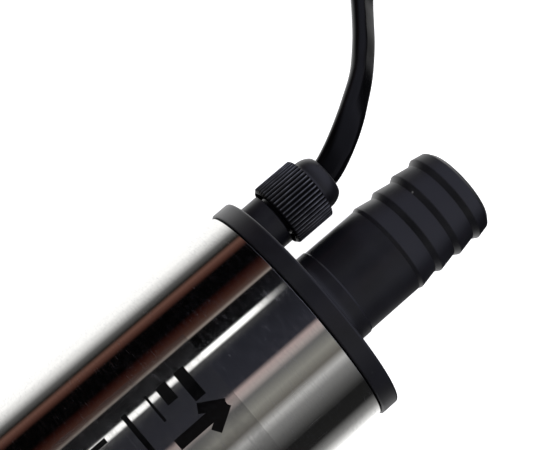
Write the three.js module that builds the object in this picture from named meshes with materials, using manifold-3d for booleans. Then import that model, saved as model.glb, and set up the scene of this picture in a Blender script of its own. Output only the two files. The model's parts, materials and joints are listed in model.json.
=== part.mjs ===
// A 12 V submersible in-line pump: a slim stainless tube with a moulded cap at the outlet end, a
// sealed brushed motor inside, an impeller and a slotted strainer at the inlet end, and a two-core
// cable that leaves the cap through a gland and ends in two battery clips.
//
// The pump lies on its side. Millimetres, +Z up, floor at z = 0. The pump's axis runs along +X
// towards the outlet, and the gland is on the +Y side of the cap. Inside the pump's own group x = 0
// is the joint between the steel tube and the cap's flange, and y = z = 0 is the tube's axis.
import * as THREE from "three";
import { mergeVertices } from "three/addons/utils/BufferGeometryUtils.js";
import Module from "manifold-3d";

const wasm = await Module();
wasm.setup();

// ---------------------------------------------------------------- driving dimensions
const gap = 0.3; // clearance kept between pieces that touch

const tubeRadius = 25.5;
const tubeWall = 0.8;
const tubeLength = 108;
const tubeBore = tubeRadius - tubeWall;
const spigotRadius = tubeBore - gap;

const flangeRadius = 26;
const flangeThickness = 4;
const axisHeight = flangeRadius;
const floorZ = -axisHeight; // the floor, in the pump's own group

const outletY = -1.95; // the outlet stands a little off the tube's axis, away from the gland
const neckRadius = 10.2;
const crestRadius = 10.45;
const valleyRadius = 9.9;
const outletBore = 7.4;
const outletTip = 42.6;
const barbPitch = 5.2;
const firstCrest = 23.3;
const barbCount = 4;

const glandY = 17.7;
const stemRadius = 5.75;
const stemEnd = 9.6;
const threadRadius = 4.6;
const threadEnd = 14;
const cableBore = 3.5;
const bushSeat = 4;
const nutBore = 6.3;
const nutStart = 10;
const knurlEnd = 19.5;
const domeEnd = 23.4;
const nutRadius = 7.1;
const ridgeCount = 48;

const sleeveRadius = 22.2;
const sleeveBore = 21.5;
const coverX = -18; // motor cover: its top face is 3 mm nearer the cap
const canRadius = 20.9;
const canBore = 19.7;
const canRear = -28.5;
const canFront = -86.2;
const housingX = -94.5; // wet side of the seal housing
const housingTop = -89.5;
const magnetRadius = 19.4;
const magnetInner = 15.9;
const coreRadius = 15.3;
const coreRear = -43;
const coreFront = -77;
const slotCount = 5;
const shaftRadius = 2.5;
const commutatorRadius = 5.6;
const impellerRadius = 17.5;
const vaneCount = 5;

const strainerRadius = 25.2;
const strainerWall = 2.4;
const strainerEnd = -131;
const baseFlangeX = -112;

const overallLength = outletTip - strainerEnd;
const capJointX = overallLength / 2 - outletTip; // puts the origin under the middle of the pump

const labelNear = -20.4;
const labelFar = -84;
const labelStart = 65; // degrees round the tube from +Y towards the top
const labelEnd = 155;

const motorScrewR = 12.5;
const terminalY = 12;
const bothSides = [1, -1];
const screwAngles = [90, 270]; // turned about X from straight up
const baseScrewX = -101.2;

const cableRadius = 2.9;
const coilTurnRadius = 31.5;
const coilRingHalf = 12.8;
const coilFloor = 1.1;
const coilHeight = 8.8;
const coilX = 143.5;
const coilY = 20.5;
const leadRadius = 1.2;
const clipHeight = 10;
const clipY = 3;
const redClipX = 202;
const blackClipX = 229.2;

// Facets round a full turn.
const fine = 72;
const medium = 40;
const coarse = 24;
const small = 16;

// ---------------------------------------------------------------- materials
function material(color, roughness, metalness = 0, opacity = 1) {
  return new THREE.MeshStandardMaterial({
    color,
    roughness,
    metalness,
    opacity,
    transparent: opacity < 1,
  });
}

const polishedSteel = material(0xc9c8c4, 0.12, 1);
const platedSteel = material(0xb4b5b8, 0.35, 1);
const brass = material(0xb89248, 0.35, 1);
const copper = material(0xa85a2c, 0.4, 1);
const carbon = material(0x26262a, 0.7);
const ferrite = material(0x33302f, 0.8);
const blackPlastic = material(0x17171b, 0.5);
const greyPlastic = material(0x5a5d60, 0.55);
const whitePlastic = material(0xd8d6cf, 0.5);
const blackRubber = material(0x101012, 0.75);
const clearFilm = material(0xd5d8d8, 0.15, 0, 0.3);
const blackCable = material(0x0b0b0c, 0.2);
const redPlastic = material(0xb01b18, 0.35);
const blackSleeve = material(0x111113, 0.35);

// ---------------------------------------------------------------- solids
// A closed solid from a three.js geometry: shared points merged, empty faces dropped, faces outward.
function solid(geometry) {
  const bare = new THREE.BufferGeometry();
  bare.setAttribute("position", geometry.getAttribute("position"));
  if (geometry.index) {
    bare.setIndex(geometry.index);
  }
  const merged = mergeVertices(bare, 1e-4);
  const points = merged.getAttribute("position").array;
  const faces = [];
  let volume = 0;
  for (let i = 0; i < merged.index.count; i += 3) {
    const [a, b, c] = [0, 1, 2].map((k) => merged.index.getX(i + k));
    if (a === b || b === c || c === a) {
      continue;
    }
    faces.push(a, b, c);
    const [p, q, r] = [a, b, c].map((k) => new THREE.Vector3().fromArray(points, 3 * k));
    volume += p.dot(q.cross(r));
  }
  if (volume < 0) {
    faces.reverse();
  }
  const mesh = new wasm.Mesh({
    numProp: 3,
    vertProperties: new Float32Array(points),
    triVerts: new Uint32Array(faces),
  });
  return new wasm.Manifold(mesh);
}

// Turned about the X axis from a closed outline of [x, radius] points.
function turned(outline, sides = coarse, y = 0, z = 0) {
  const closed = [...outline, outline[0]];
  const profile = closed.map(([x, radius]) => new THREE.Vector2(Math.max(radius, 0), x));
  const geometry = new THREE.LatheGeometry(profile, sides);
  geometry.rotateZ(-Math.PI / 2);
  geometry.translate(0, y, z);
  return solid(geometry);
}

function rod(radius, x0, x1, sides = small, y = 0, z = 0) {
  return turned([[x0, 0], [x0, radius], [x1, radius], [x1, 0]], sides, y, z);
}

function ring(outer, inner, x0, x1, sides = coarse, y = 0, z = 0) {
  return turned([[x0, inner], [x0, outer], [x1, outer], [x1, inner]], sides, y, z);
}

function block(x0, x1, y0, y1, z0, z1) {
  const geometry = new THREE.BoxGeometry(x1 - x0, y1 - y0, z1 - z0);
  geometry.translate((x0 + x1) / 2, (y0 + y1) / 2, (z0 + z1) / 2);
  return solid(geometry);
}

function circlePoint(radius, degrees) {
  const angle = THREE.MathUtils.degToRad(degrees);
  return [radius * Math.cos(angle), radius * Math.sin(angle)];
}

// An outline of [y, z] points carried from x0 to x1.
function alongX(outline, x0, x1) {
  const shape = new THREE.Shape(outline.map(([y, z]) => new THREE.Vector2(y, z)));
  const geometry = new THREE.ExtrudeGeometry(shape, { depth: x1 - x0, bevelEnabled: false });
  geometry.applyMatrix4(new THREE.Matrix4().makeBasis(
    new THREE.Vector3(0, 1, 0),
    new THREE.Vector3(0, 0, 1),
    new THREE.Vector3(1, 0, 0),
  ));
  geometry.translate(x0, 0, 0);
  return solid(geometry);
}

// An outline of [x, y] points carried from z0 up to z1.
function upright(outline, z0, z1) {
  const shape = new THREE.Shape(outline.map(([x, y]) => new THREE.Vector2(x, y)));
  const geometry = new THREE.ExtrudeGeometry(shape, { depth: z1 - z0, bevelEnabled: false });
  geometry.translate(0, 0, z0);
  return solid(geometry);
}

// A round cord along a smooth curve through [x, y, z] points.
function cord(points, radius, steps, sides = 8) {
  const path = new THREE.CatmullRomCurve3(
    points.map((p) => new THREE.Vector3(...p)), false, "centripetal");
  const section = new THREE.Shape();
  for (let i = 0; i < sides; i += 1) {
    const [u, v] = circlePoint(radius, (360 * i) / sides);
    section[i === 0 ? "moveTo" : "lineTo"](u, v);
  }
  section.closePath();
  return solid(new THREE.ExtrudeGeometry(section, { steps, extrudePath: path }));
}

// A helical spring about the Z axis.
function spring(radius, wire, z0, z1, turns, x, y) {
  const points = [];
  const pointsPerTurn = 8;
  const count = turns * pointsPerTurn;
  for (let i = 0; i <= count; i += 1) {
    const [u, v] = circlePoint(radius, (360 * i) / pointsPerTurn);
    points.push([x + u, y + v, z0 + wire + ((z1 - z0 - 2 * wire) * i) / count]);
  }
  return cord(points, wire, count, 4);
}

function all(pieces) {
  return pieces.reduce((sum, piece) => sum.add(piece));
}

function aboutX(piece, degrees) {
  return piece.rotate([degrees, 0, 0]);
}

function copies(count, make) {
  return Array.from({ length: count }, (_, i) => make(i));
}

function node(group, name, manifold, look) {
  const mesh = manifold.getMesh();
  const geometry = new THREE.BufferGeometry();
  geometry.setAttribute("position", new THREE.BufferAttribute(mesh.vertProperties, 3));
  geometry.setIndex(new THREE.BufferAttribute(mesh.triVerts, 1));
  geometry.computeVertexNormals();
  const part = new THREE.Mesh(geometry, look);
  part.name = name;
  group.add(part);
  return part;
}

// ---------------------------------------------------------------- tube, cap and gland
function outerTube() {
  const tube = ring(tubeRadius, tubeBore, gap - tubeLength, -gap, fine);
  const holes = screwAngles.map((angle) => aboutX(
    rod(1.8, 20, 30, 12).rotate([0, -90, 0]).translate([baseScrewX, 0, 0]), angle));
  return tube.subtract(all(holes));
}

// Hose barb: each crest rises steeply on the side facing the flange and falls gently to the tip.
function barbOutline() {
  const rise = 1.4;
  const outline = [];
  for (let i = 0; i < barbCount; i += 1) {
    const crest = firstCrest + i * barbPitch;
    if (i > 0) {
      outline.push([crest - rise, valleyRadius]);
    }
    outline.push([crest, crestRadius]);
  }
  return outline;
}

function topCap() {
  const grooveFloor = 22.3;
  const cavityRadius = 20.4;
  const body = turned([
    [-2.5, 0], [-2.5, cavityRadius], [-11, cavityRadius], [-11, spigotRadius],
    [-6.6, spigotRadius], [-6.6, grooveFloor], [-3.8, grooveFloor], [-3.8, spigotRadius],
    [0, spigotRadius], [0, flangeRadius - 0.3], [0.3, flangeRadius],
    [flangeThickness - 0.5, flangeRadius], [flangeThickness, flangeRadius - 0.5],
    [flangeThickness, 0],
  ], medium);
  const outlet = turned([
    [3, 0], [3, 13.4], [4, 13.4], [4.6, 12], [5.6, 11], [7.4, neckRadius],
    [firstCrest - 0.7, neckRadius], ...barbOutline(),
    [outletTip - 1.2, 9.9], [outletTip - 0.4, 9.2], [outletTip, 8.4], [outletTip, 0],
  ], coarse, outletY);
  const stem = rod(stemRadius, 3, stemEnd, small, glandY);
  const bore = rod(outletBore, -4, outletTip + 1, coarse, outletY);
  const bodySeat = rod(4.5, 1, stemEnd + 1, small, glandY);
  const leadHole = rod(2.6, -4, 2, 16, 16.6);
  return body.add(outlet).add(stem).subtract(bore).subtract(bodySeat).subtract(leadHole);
}

// The gland's threaded body, pressed into the cap's stem, with the seat for the bush at its mouth.
function glandBody() {
  return turned([
    [1.3, cableBore], [1.3, 4.2], [stemEnd + gap, 4.2], [stemEnd + gap, threadRadius],
    [threadEnd, threadRadius], [threadEnd, bushSeat], [11, bushSeat], [11, cableBore],
  ], small, glandY);
}

function oRing(x, radius, wire) {
  const outline = copies(6, (i) => {
    const [u, v] = circlePoint(wire, 60 * i);
    return [x + u, radius + v];
  });
  return turned(outline, medium);
}

function glandNut() {
  const outline = copies(ridgeCount * 2, (i) => {
    const radius = i % 2 === 0 ? nutRadius : nutRadius - 0.35;
    return circlePoint(radius, (180 * i) / ridgeCount);
  });
  const knurl = alongX(outline, nutStart, knurlEnd);
  const dome = turned([
    [19, 0], [19, 5.75], [20.6, 5.7], [21.8, 5.4], [22.8, 4.9], [domeEnd, 4.5], [domeEnd, 0],
  ], small);
  const hollow = turned([
    [9, 0], [9, nutBore], [15.6, nutBore], [15.6, 5.3], [19.3, 5.3], [19.3, 3.6],
    [21.6, 3.6], [domeEnd, 4.2], [24, 4.2], [24, 0],
  ], small);
  return knurl.add(dome).subtract(hollow).translate([0, glandY, 0]);
}

function glandBush() {
  return turned([
    [11.3, 3.25], [11.3, bushSeat - gap], [threadEnd + gap, bushSeat - gap],
    [threadEnd + gap, 4.9], [17.6, 4.7], [17.6, 3.25],
  ], small, glandY);
}

function glandWasher() {
  return ring(4.95, 3.6, 17.95, 18.9, small, glandY);
}

// A printed film that covers part of the tube's upper side.
function label() {
  const inner = tubeRadius + 0.06;
  const outer = inner + 0.14;
  const first = labelStart;
  const steps = (labelEnd - labelStart) / 5;
  const arc = (radius) => copies(steps + 1, (i) => circlePoint(radius, first + 5 * i));
  return alongX([...arc(outer), ...arc(inner).reverse()], labelFar, labelNear);
}

// ---------------------------------------------------------------- motor
function motorCover() {
  const plate = turned([
    [coverX + 3, 0], [coverX + 3, sleeveRadius], [coverX, sleeveRadius],
    [coverX, 21.2], [coverX - 4, 21.2], [coverX - 4, 18.6], [coverX, 18.6], [coverX, 0],
  ]);
  const tower = rod(4.1, coverX + 1, -2.8, small, 15.9);
  const towerBore = rod(2.9, coverX - 1, -2, small, 15.9);
  const spacers = copies(3, (i) => aboutX(
    alongX([[20.7, -2], [22, -2], [22, 2], [20.7, 2]], coverX + 2, -11.3), 150 + 90 * i));
  return all([plate, tower, ...spacers]).subtract(towerBore);
}

function motorSleeve() {
  return ring(sleeveRadius, sleeveBore, housingTop + gap, coverX - gap);
}

function motorCan() {
  const can = turned([
    [canRear, canRadius], [canFront + 1.3, canRadius], [canFront, canBore],
    [canFront, 8.2], [-89.2, 8.2], [-89.2, 4.5], [-88.6, 4.5], [-88.6, 6.9], [-84.7, 6.9],
    [-84.7, canBore], [canRear, canBore],
  ]);
  const holes = bothSides.map((side) => rod(1.8, -87, -84, 12, side * motorScrewR));
  return can.subtract(all(holes));
}

function endBell() {
  const plate = turned([
    [-28.2, 4.3], [-28.2, canRadius], [-24.5, canRadius], [-24.5, 6.5], [-22.6, 6.5],
    [-22.6, 4.3],
  ]);
  const slots = bothSides.map((side) => {
    const edge = terminalY * side;
    return block(-29, -24, edge - 0.8, edge + 0.8, -2.8, 2.8);
  });
  return plate.subtract(all(slots));
}

// Brass tab that takes a lead on the dry side and feeds the brush behind the plate.
function terminal(side) {
  const edge = terminalY * side;
  return block(-28.4, -19.5, edge - 0.4, edge + 0.4, -2.4, 2.4);
}

function magnet(side) {
  const arc = (radius) => copies(13, (i) => circlePoint(radius, 30 + 10 * i));
  const outline = [...arc(magnetRadius), ...arc(magnetInner).reverse()];
  return aboutX(alongX(outline, -80, -40), side > 0 ? 0 : 180);
}

function brushHolder(side) {
  const box = block(-36.5, -28.7, -3.5, 3.5, 7.6, 18.6);
  const hollow = block(-35.8, -29.4, -2.8, 2.8, 7, 18);
  return aboutX(box.subtract(hollow), side > 0 ? 0 : 180);
}

function brush(side) {
  return aboutX(block(-35.4, -29.8, -2.4, 2.4, commutatorRadius + gap, 13), side > 0 ? 0 : 180);
}

function brushSpring(side) {
  return aboutX(spring(1.7, 0.28, 13.2, 17.8, 4, -32.6, 0), side > 0 ? 0 : 180);
}

function commutator() {
  const bars = ring(commutatorRadius, shaftRadius + gap, -37.5, -28.8);
  const cuts = copies(slotCount, (i) => aboutX(
    block(-37, -28, -0.25, 0.25, commutatorRadius - 0.8, 7), (360 * i) / slotCount + 36));
  return bars.subtract(all(cuts));
}

// Laminated core: a hub, one neck and one wide pole shoe for each slot.
function coreSection(grow) {
  const hub = 6 + grow;
  const neck = 2 + grow;
  const shoeInner = 13 - grow;
  const half = 180 / slotCount;
  const opening = 5 - grow * 3;
  const outline = [];
  for (let i = 0; i < slotCount; i += 1) {
    const middle = (360 * i) / slotCount;
    const neckFoot = THREE.MathUtils.radToDeg(Math.asin(neck / hub));
    const neckTop = THREE.MathUtils.radToDeg(Math.asin(neck / shoeInner));
    const edge = half - opening;
    outline.push(circlePoint(hub, middle - neckFoot), circlePoint(shoeInner, middle - neckTop));
    outline.push(circlePoint(shoeInner, middle - edge));
    for (let k = -2; k <= 2; k += 1) {
      outline.push(circlePoint(coreRadius + grow, middle + (edge * k) / 2));
    }
    outline.push(circlePoint(shoeInner, middle + edge));
    outline.push(circlePoint(shoeInner, middle + neckTop), circlePoint(hub, middle + neckFoot));
  }
  return outline;
}

function armatureCore() {
  return alongX(coreSection(0), coreFront, coreRear)
    .subtract(rod(shaftRadius + gap, coreFront - 1, coreRear + 1));
}

// Copper that fills the slots and turns round both ends of the core.
function windings() {
  const rearEnd = turned([
    [coreRear + gap, 3.4], [coreRear + gap, 13.6], [-40, 12.6], [-38.2, 8], [-38.2, 3.4],
  ]);
  const frontEnd = turned([
    [coreFront - gap, 3.4], [-82, 3.4], [-82, 8], [-80, 12.6], [coreFront - gap, 13.6],
  ]);
  const slots = ring(12.4, 6.6, coreFront - 1, coreRear + 1)
    .subtract(alongX(coreSection(gap), coreFront - gap, coreRear + gap));
  return all([rearEnd, frontEnd, slots]);
}

function shaft() {
  return turned([
    [-109.2, 0], [-109.2, 1.7], [-105.9, 1.7], [-105.9, shaftRadius], [-22.4, shaftRadius],
    [-22, shaftRadius - 0.4], [-22, 0],
  ], small);
}

// Inner leads from the cable's cores, through the tower, to the far side of each terminal.
const leadCrossing = {
  [1]: [[-18.8, 16.9, 0.5], [-20, 15.4, 1.8], [-20.6, terminalY + 1.7, 1]],
  [-1]: [
    [-18.6, 14.4, 1.4], [-19.2, 13.2, 4], [-20.2, 7, 5.2], [-20.4, -3, 5.4],
    [-20.6, -11.4, 4.8], [-20.8, -terminalY - 2.2, 3], [-20.9, -terminalY - 2, 0.5],
  ],
};

function innerLead(side) {
  return cord([
    [2.6, glandY + 1.3 * side, 0], [0.4, 17 + 1.15 * side, 0], [-3, 16.4 + 1.1 * side, 0],
    [-9, 16 + 1.1 * side, 0], [-17, 15.8 + 1.1 * side, 0], ...leadCrossing[side],
  ], 0.75, 22, 6);
}

// ---------------------------------------------------------------- seal, impeller and base
function sealHousing() {
  const body = turned([
    [-96.5, 8.3], [-96.5, 10.5], [housingX, 10.5], [housingX, sleeveRadius],
    [housingTop, sleeveRadius], [housingTop, 21.2], [-86.9, 21.2], [-86.9, 20.05],
    [housingTop, 20.05], [housingTop, 4.2], [-90.1, 4.2], [-90.1, 8.3],
  ]);
  const vanes = copies(8, (i) => aboutX(
    block(-4, 4, -0.6, 0.6, 21.4, 26).rotate([0, 0, 25])
      .translate([(housingX + housingTop) / 2, 0, 0]), 45 * i));
  const limit = ring(spigotRadius, 20, housingX, housingTop, medium);
  const holes = bothSides.map((side) => turned([
    [-95, 0], [-95, 3.1], [-92, 3.1], [-92, 1.8], [-89, 1.8], [-89, 0],
  ], 10, side * motorScrewR));
  return body.add(all(vanes).intersect(limit)).subtract(all(holes));
}

function motorScrew(side) {
  return turned([
    [-94.4, 0], [-94.4, 2.7], [-92.4, 2.7], [-92.4, 1.45], [-83.6, 1.45], [-83.6, 0],
  ], 12, side * motorScrewR);
}

// Rubber lip seal: the lip faces the motor, with its spring ring moulded in behind it.
function shaftSeal() {
  const seal = turned([
    [-95.8, 2.8], [-95.8, 8], [-90.4, 8], [-90.4, 6.6], [-94.2, 6.2], [-94.2, 3.9],
    [-92, 3.8], [-92, 2.8],
  ], small);
  const springRing = turned(copies(6, (i) => {
    const [u, v] = circlePoint(0.45, 60 * i);
    return [-93.2 + u, 4.25 + v];
  }), small);
  return seal.add(springRing);
}

// Curved vanes on the inlet side of a round back plate.
function impeller() {
  const plate = ring(impellerRadius, shaftRadius + gap, -99.3, -98);
  const hub = ring(4.8, shaftRadius + gap, -105.6, -97.4, small);
  const vanes = copies(vaneCount, (i) => {
    const stations = copies(6, (k) => k / 5);
    const line = (shift) => stations.map((t) =>
      circlePoint(6.5 + (impellerRadius - 6.9) * t, 62 * t + shift / (1 + 1.6 * t)));
    return aboutX(alongX([...line(0), ...line(9).reverse()], -106.3, -98.6), (360 * i) / vaneCount);
  });
  return all([plate, hub, ...vanes]);
}

function impellerNut() {
  const outline = copies(6, (i) => circlePoint(3.9, 60 * i));
  return alongX(outline, -108.9, -106.2).subtract(rod(1.7 + gap, -110, -105, 12));
}

// Suction cover, spigot for the tube and collar for the strainer, in one moulding.
function pumpBase() {
  const body = turned([
    [-109, 8.5], [-109, 20.5], [-118, 20.5], [-118, 22.4], [baseFlangeX, 22.4],
    [baseFlangeX, flangeRadius - 0.4], [baseFlangeX + 0.4, flangeRadius],
    [-108.4, flangeRadius], [-108, flangeRadius - 0.4], [-108, spigotRadius],
    [-107, spigotRadius], [-107, 22.3], [-104.2, 22.3], [-104.2, spigotRadius],
    [-99, spigotRadius], [-99, 20.5], [-107.2, 20.5], [-107.2, 8.5],
  ], medium);
  const spacers = copies(3, (i) => aboutX(
    alongX([[22.6, -3], [24, -3], [24, 3], [22.6, 3]], -100, housingX - gap), 60 + 120 * i));
  const holes = screwAngles.map((angle) => aboutX(
    rod(1.55, 18, 28, 12).rotate([0, -90, 0]).translate([baseScrewX, 0, 0]), angle));
  return all([body, ...spacers]).subtract(all(holes));
}

function baseScrew(angle) {
  const screw = turned([[21, 0], [21, 1.2], [25.85, 1.2], [25.85, 2.6], [26.6, 2.3], [26.8, 0]], 12);
  return aboutX(screw.rotate([0, -90, 0]).translate([baseScrewX, 0, 0]), angle);
}

// A slotted cup that pushes over the base's collar.
function strainer() {
  const cup = turned([
    [strainerEnd, 0], [strainerEnd, strainerRadius - 1.2], [strainerEnd + 1.2, strainerRadius],
    [baseFlangeX - gap, strainerRadius], [baseFlangeX - gap, strainerRadius - strainerWall],
    [strainerEnd + 2, strainerRadius - strainerWall], [strainerEnd + 2, 0],
  ], medium);
  const sideSlots = copies(20, (i) => aboutX(
    block(-127.6, -119, -1.3, 1.3, 21, 27), 18 * i + 9));
  const endSlots = copies(12, (i) => aboutX(
    block(strainerEnd - 1, strainerEnd + 3, -1.1, 1.1, 8, 19.5), 30 * i));
  return cup.subtract(all([...sideSlots, ...endSlots]));
}

// ---------------------------------------------------------------- cable
// In the pump's frame: straight out of the gland, down in a long curve, along the floor and into
// the coil. The coil's outer turn is met at its +Y side, going +X.
const coilOuterY = coilY + coilTurnRadius + 9.6;
const lyingZ = floorZ + cableRadius + 0.2;
const cableRoute = [
  [3, glandY, 0], [9, glandY, 0], [15, glandY, 0], [20, 17.75, 0], [24, 18.1, 0],
  [28.2, 19.6, -0.3], [31.8, 21.3, -1.1], [35.4, 23.2, -2.5], [39.6, 25.7, -5],
  [45.2, 29.3, -8.8], [49.1, 32.4, -12], [53, 35.9, -15], [57, 39.9, -18],
  [61.2, 44.3, -20.8], [66, 49.2, -22.5], [72.5, 54.2, lyingZ], [81, 58.2, lyingZ],
  [92, 60.8, lyingZ], [104, coilOuterY, lyingZ], [119.5, coilOuterY, lyingZ],
];

function cableCoil() {
  const outer = coilTurnRadius + coilRingHalf;
  const inner = coilTurnRadius - coilRingHalf;
  const profile = [[inner, 0], [outer, 0], [outer, coilHeight], [inner, coilHeight], [inner, 0]]
    .map(([radius, height]) => new THREE.Vector2(radius, height));
  const geometry = new THREE.LatheGeometry(profile, medium);
  geometry.rotateX(Math.PI / 2);
  geometry.translate(coilX, coilY, floorZ + coilFloor);
  return solid(geometry);
}

// A strap closed round the coil's ring.
function coilTie() {
  const strap = 0.8;
  const reach = coilRingHalf + gap;
  const near = coilTurnRadius - reach;
  const far = coilTurnRadius + reach;
  const high = coilFloor + coilHeight + gap + strap;
  const band = block(near - strap, far + strap, -3, 3, 0, high);
  const inside = block(near, far, -4, 4, strap, high - strap);
  return band.subtract(inside).rotate([0, 0, -100]).translate([coilX, coilY, floorZ]);
}

const splitterX = coilX + 47;

// From the top of the coil down to the floor.
function cableTail() {
  return cord([
    [coilX + 25, coilOuterY, floorZ + 6.4], [coilX + 29, coilOuterY, floorZ + 5],
    [coilX + 34, coilOuterY, floorZ + 4.1], [splitterX - 8.3, coilOuterY, floorZ + 4],
  ], cableRadius, 5, 8);
}

// Moulded sleeve where the sheath ends and the two leads part.
function cableSplitter() {
  const half = 3.8;
  const outline = [
    [-8, 1 - half], [-7, 0.4 - half], [5, -half], [7, 1 - half],
    [7, half - 1], [5, half], [-7, half - 0.4], [-8, half - 1],
  ];
  return upright(outline, 0, 8).translate([splitterX, coilOuterY, floorZ]);
}

const leadZ = floorZ + leadRadius + 0.2;
const leadEndZ = floorZ + clipHeight / 2;
const leadStartX = splitterX + 7 + gap;
const leadEndY = clipY + 26 + gap;
const redRoute = [
  [leadStartX, coilOuterY - 1.6, floorZ + 4], [199.9, 59.8, floorZ + 3.6],
  [201.8, 57.4, floorZ + 2.6], [202.3, 52, leadZ], [199, 46, leadZ],
  [194.5, 41, floorZ + 2.4], [191.9, 35.5, floorZ + 4.2],
  [redClipX - 10.4, leadEndY, leadEndZ],
];
const blackRoute = [
  [leadStartX, coilOuterY + 1.6, floorZ + 4], [200.5, 63.2, floorZ + 3.6],
  [205, 63, floorZ + 2.2], [210.5, 61.4, leadZ], [216, 57, leadZ], [219.3, 50, leadZ],
  [219.6, 43, floorZ + 2], [219, 36, floorZ + 4.2],
  [blackClipX - 10.4, leadEndY, leadEndZ],
];

// ---------------------------------------------------------------- battery clips
// Drawn along u, from the handles at -u to the toothed tips at +u, with the pivot at the origin.
// side -1 is the jaw that stays, side +1 the jaw that opens. Both are bent-up channels; the
// opening jaw is the narrower one and works between the other's cheeks.
const jawTip = 28;
const pivotPin = 1.1;

function jaw(side) {
  const low = side < 0 ? 1.2 : 2.4;
  const high = clipHeight - low;
  const sheet = 0.8;
  const teeth = copies(7, (i) => [[14 + 2 * i, -1.2], [15 + 2 * i, -gap / 2]]).flat();
  const outline = [
    [-24, -11.5], [0, -5.2], [5, -5.6], [22, -5.6], [jawTip, -3.2], [jawTip, -1.2],
    ...teeth.slice(0, 13).reverse(), [12, -1.4], [6, -1.4], [3, 2.4], [-2, 2.4],
    [-4, -1.5], [-24, -8.5],
  ];
  const inside = [
    [-25, -10.9], [0, -5.2 + sheet], [5, -5.6 + sheet], [22, -5.6 + sheet],
    [jawTip - sheet, -2.9], [jawTip - sheet, 4], [-25, 4],
  ];
  const channel = upright(outline, low, high)
    .subtract(upright(inside, low + sheet, high - sheet));
  const pinHole = upright(copies(12, (i) => circlePoint(pivotPin + gap, 30 * i)), 0, clipHeight);
  return channel.subtract(pinHole);
}

function boot(side) {
  const outline = [
    [-26, -13.2], [-26, -8.4], [-25, -7.5], [-8, -1.5], [-8, -8.5], [-25, -13],
  ];
  const inside = [[-24.4, -11.95], [-24.4, -8.3], [-7, -2.2], [-7, -7.35]];
  const low = side < 0 ? 0.9 : 2.1;
  return upright(outline, 0, clipHeight)
    .subtract(upright(inside, low, clipHeight - low));
}

function pivot() {
  const pin = rod(pivotPin, 0.5, clipHeight - 0.5, 10);
  const heads = [rod(2, 0.3, 0.9, 10), rod(2, clipHeight - 0.9, clipHeight - 0.3, 10)];
  return all([pin, ...heads]).rotate([0, -90, 0]);
}

function clipSpring() {
  const radius = 1.9;
  const perTurn = 8;
  const count = 3.5 * perTurn;
  const low = 3.7;
  const high = clipHeight - low;
  const turns = copies(count + 1, (i) => {
    const [u, v] = circlePoint(radius, -90 + (360 * i) / perTurn);
    return [u, v, low + ((high - low) * i) / count];
  });
  return cord([[-8, -radius, low], ...turns, [-8, radius, high]], 0.4, 32, 4);
}

// Places a clip piece with its pivot over [x, clipY] and its tips towards -Y.
function placed(piece, x, mirrored = false) {
  const facing = mirrored ? piece.mirror([0, 1, 0]) : piece;
  return facing.rotate([0, 0, -90]).translate([x, clipY, floorZ]);
}

// ---------------------------------------------------------------- the object
const pump = new THREE.Group();
pump.position.set(capJointX, 0, axisHeight);

node(pump, "outer_tube", outerTube(), polishedSteel);
node(pump, "top_cap", topCap(), blackPlastic);
node(pump, "cap_o_ring", oRing(-5.2, 23.5, 0.85), blackRubber);
node(pump, "gland_body", glandBody(), blackPlastic);
node(pump, "gland_nut", glandNut(), blackPlastic);
node(pump, "gland_washer", glandWasher(), platedSteel);
node(pump, "gland_bush", glandBush(), blackRubber);
node(pump, "label", label(), clearFilm);

node(pump, "motor_cover", motorCover(), greyPlastic);
node(pump, "motor_sleeve", motorSleeve(), platedSteel);
node(pump, "motor_can", motorCan(), platedSteel);
node(pump, "end_bell", endBell(), whitePlastic);
node(pump, "bearing_rear", ring(4, 2.6, -28, -23, small), brass);
node(pump, "bearing_front", ring(6.6, 2.6, -88.3, -84.9, small), platedSteel);
for (const side of bothSides) {
  const tag = side > 0 ? "a" : "b";
  node(pump, `terminal_${tag}`, terminal(side), brass);
  node(pump, `magnet_${tag}`, magnet(side), ferrite);
  node(pump, `brush_holder_${tag}`, brushHolder(side), brass);
  node(pump, `brush_${tag}`, brush(side), carbon);
  node(pump, `brush_spring_${tag}`, brushSpring(side), platedSteel);
  node(pump, `motor_screw_${tag}`, motorScrew(side), platedSteel);
}
node(pump, "shaft", shaft(), platedSteel);
node(pump, "armature_core", armatureCore(), platedSteel);
node(pump, "windings", windings(), copper);
node(pump, "commutator", commutator(), copper);
node(pump, "inner_lead_red", innerLead(1), redPlastic);
node(pump, "inner_lead_black", innerLead(-1), blackSleeve);

node(pump, "seal_housing", sealHousing(), greyPlastic);
node(pump, "shaft_seal", shaftSeal(), blackRubber);
node(pump, "impeller", impeller(), whitePlastic);
node(pump, "impeller_nut", impellerNut(), brass);
node(pump, "pump_base", pumpBase(), blackPlastic);
node(pump, "base_o_ring", oRing(-105.6, 23.5, 0.85), blackRubber);
screwAngles.forEach((angle, i) => {
  node(pump, `base_screw_${i + 1}`, baseScrew(angle), platedSteel);
});
node(pump, "strainer", strainer(), blackPlastic);

node(pump, "cable", cord(cableRoute, cableRadius, 28, 8), blackCable);
node(pump, "cable_coil", cableCoil(), blackCable);
node(pump, "cable_tie", coilTie(), blackPlastic);
node(pump, "cable_tail", cableTail(), blackCable);
node(pump, "cable_splitter", cableSplitter(), blackRubber);
node(pump, "lead_red", cord(redRoute, leadRadius, 16, 6), redPlastic);
node(pump, "lead_black", cord(blackRoute, leadRadius, 20, 6), blackSleeve);

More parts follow.
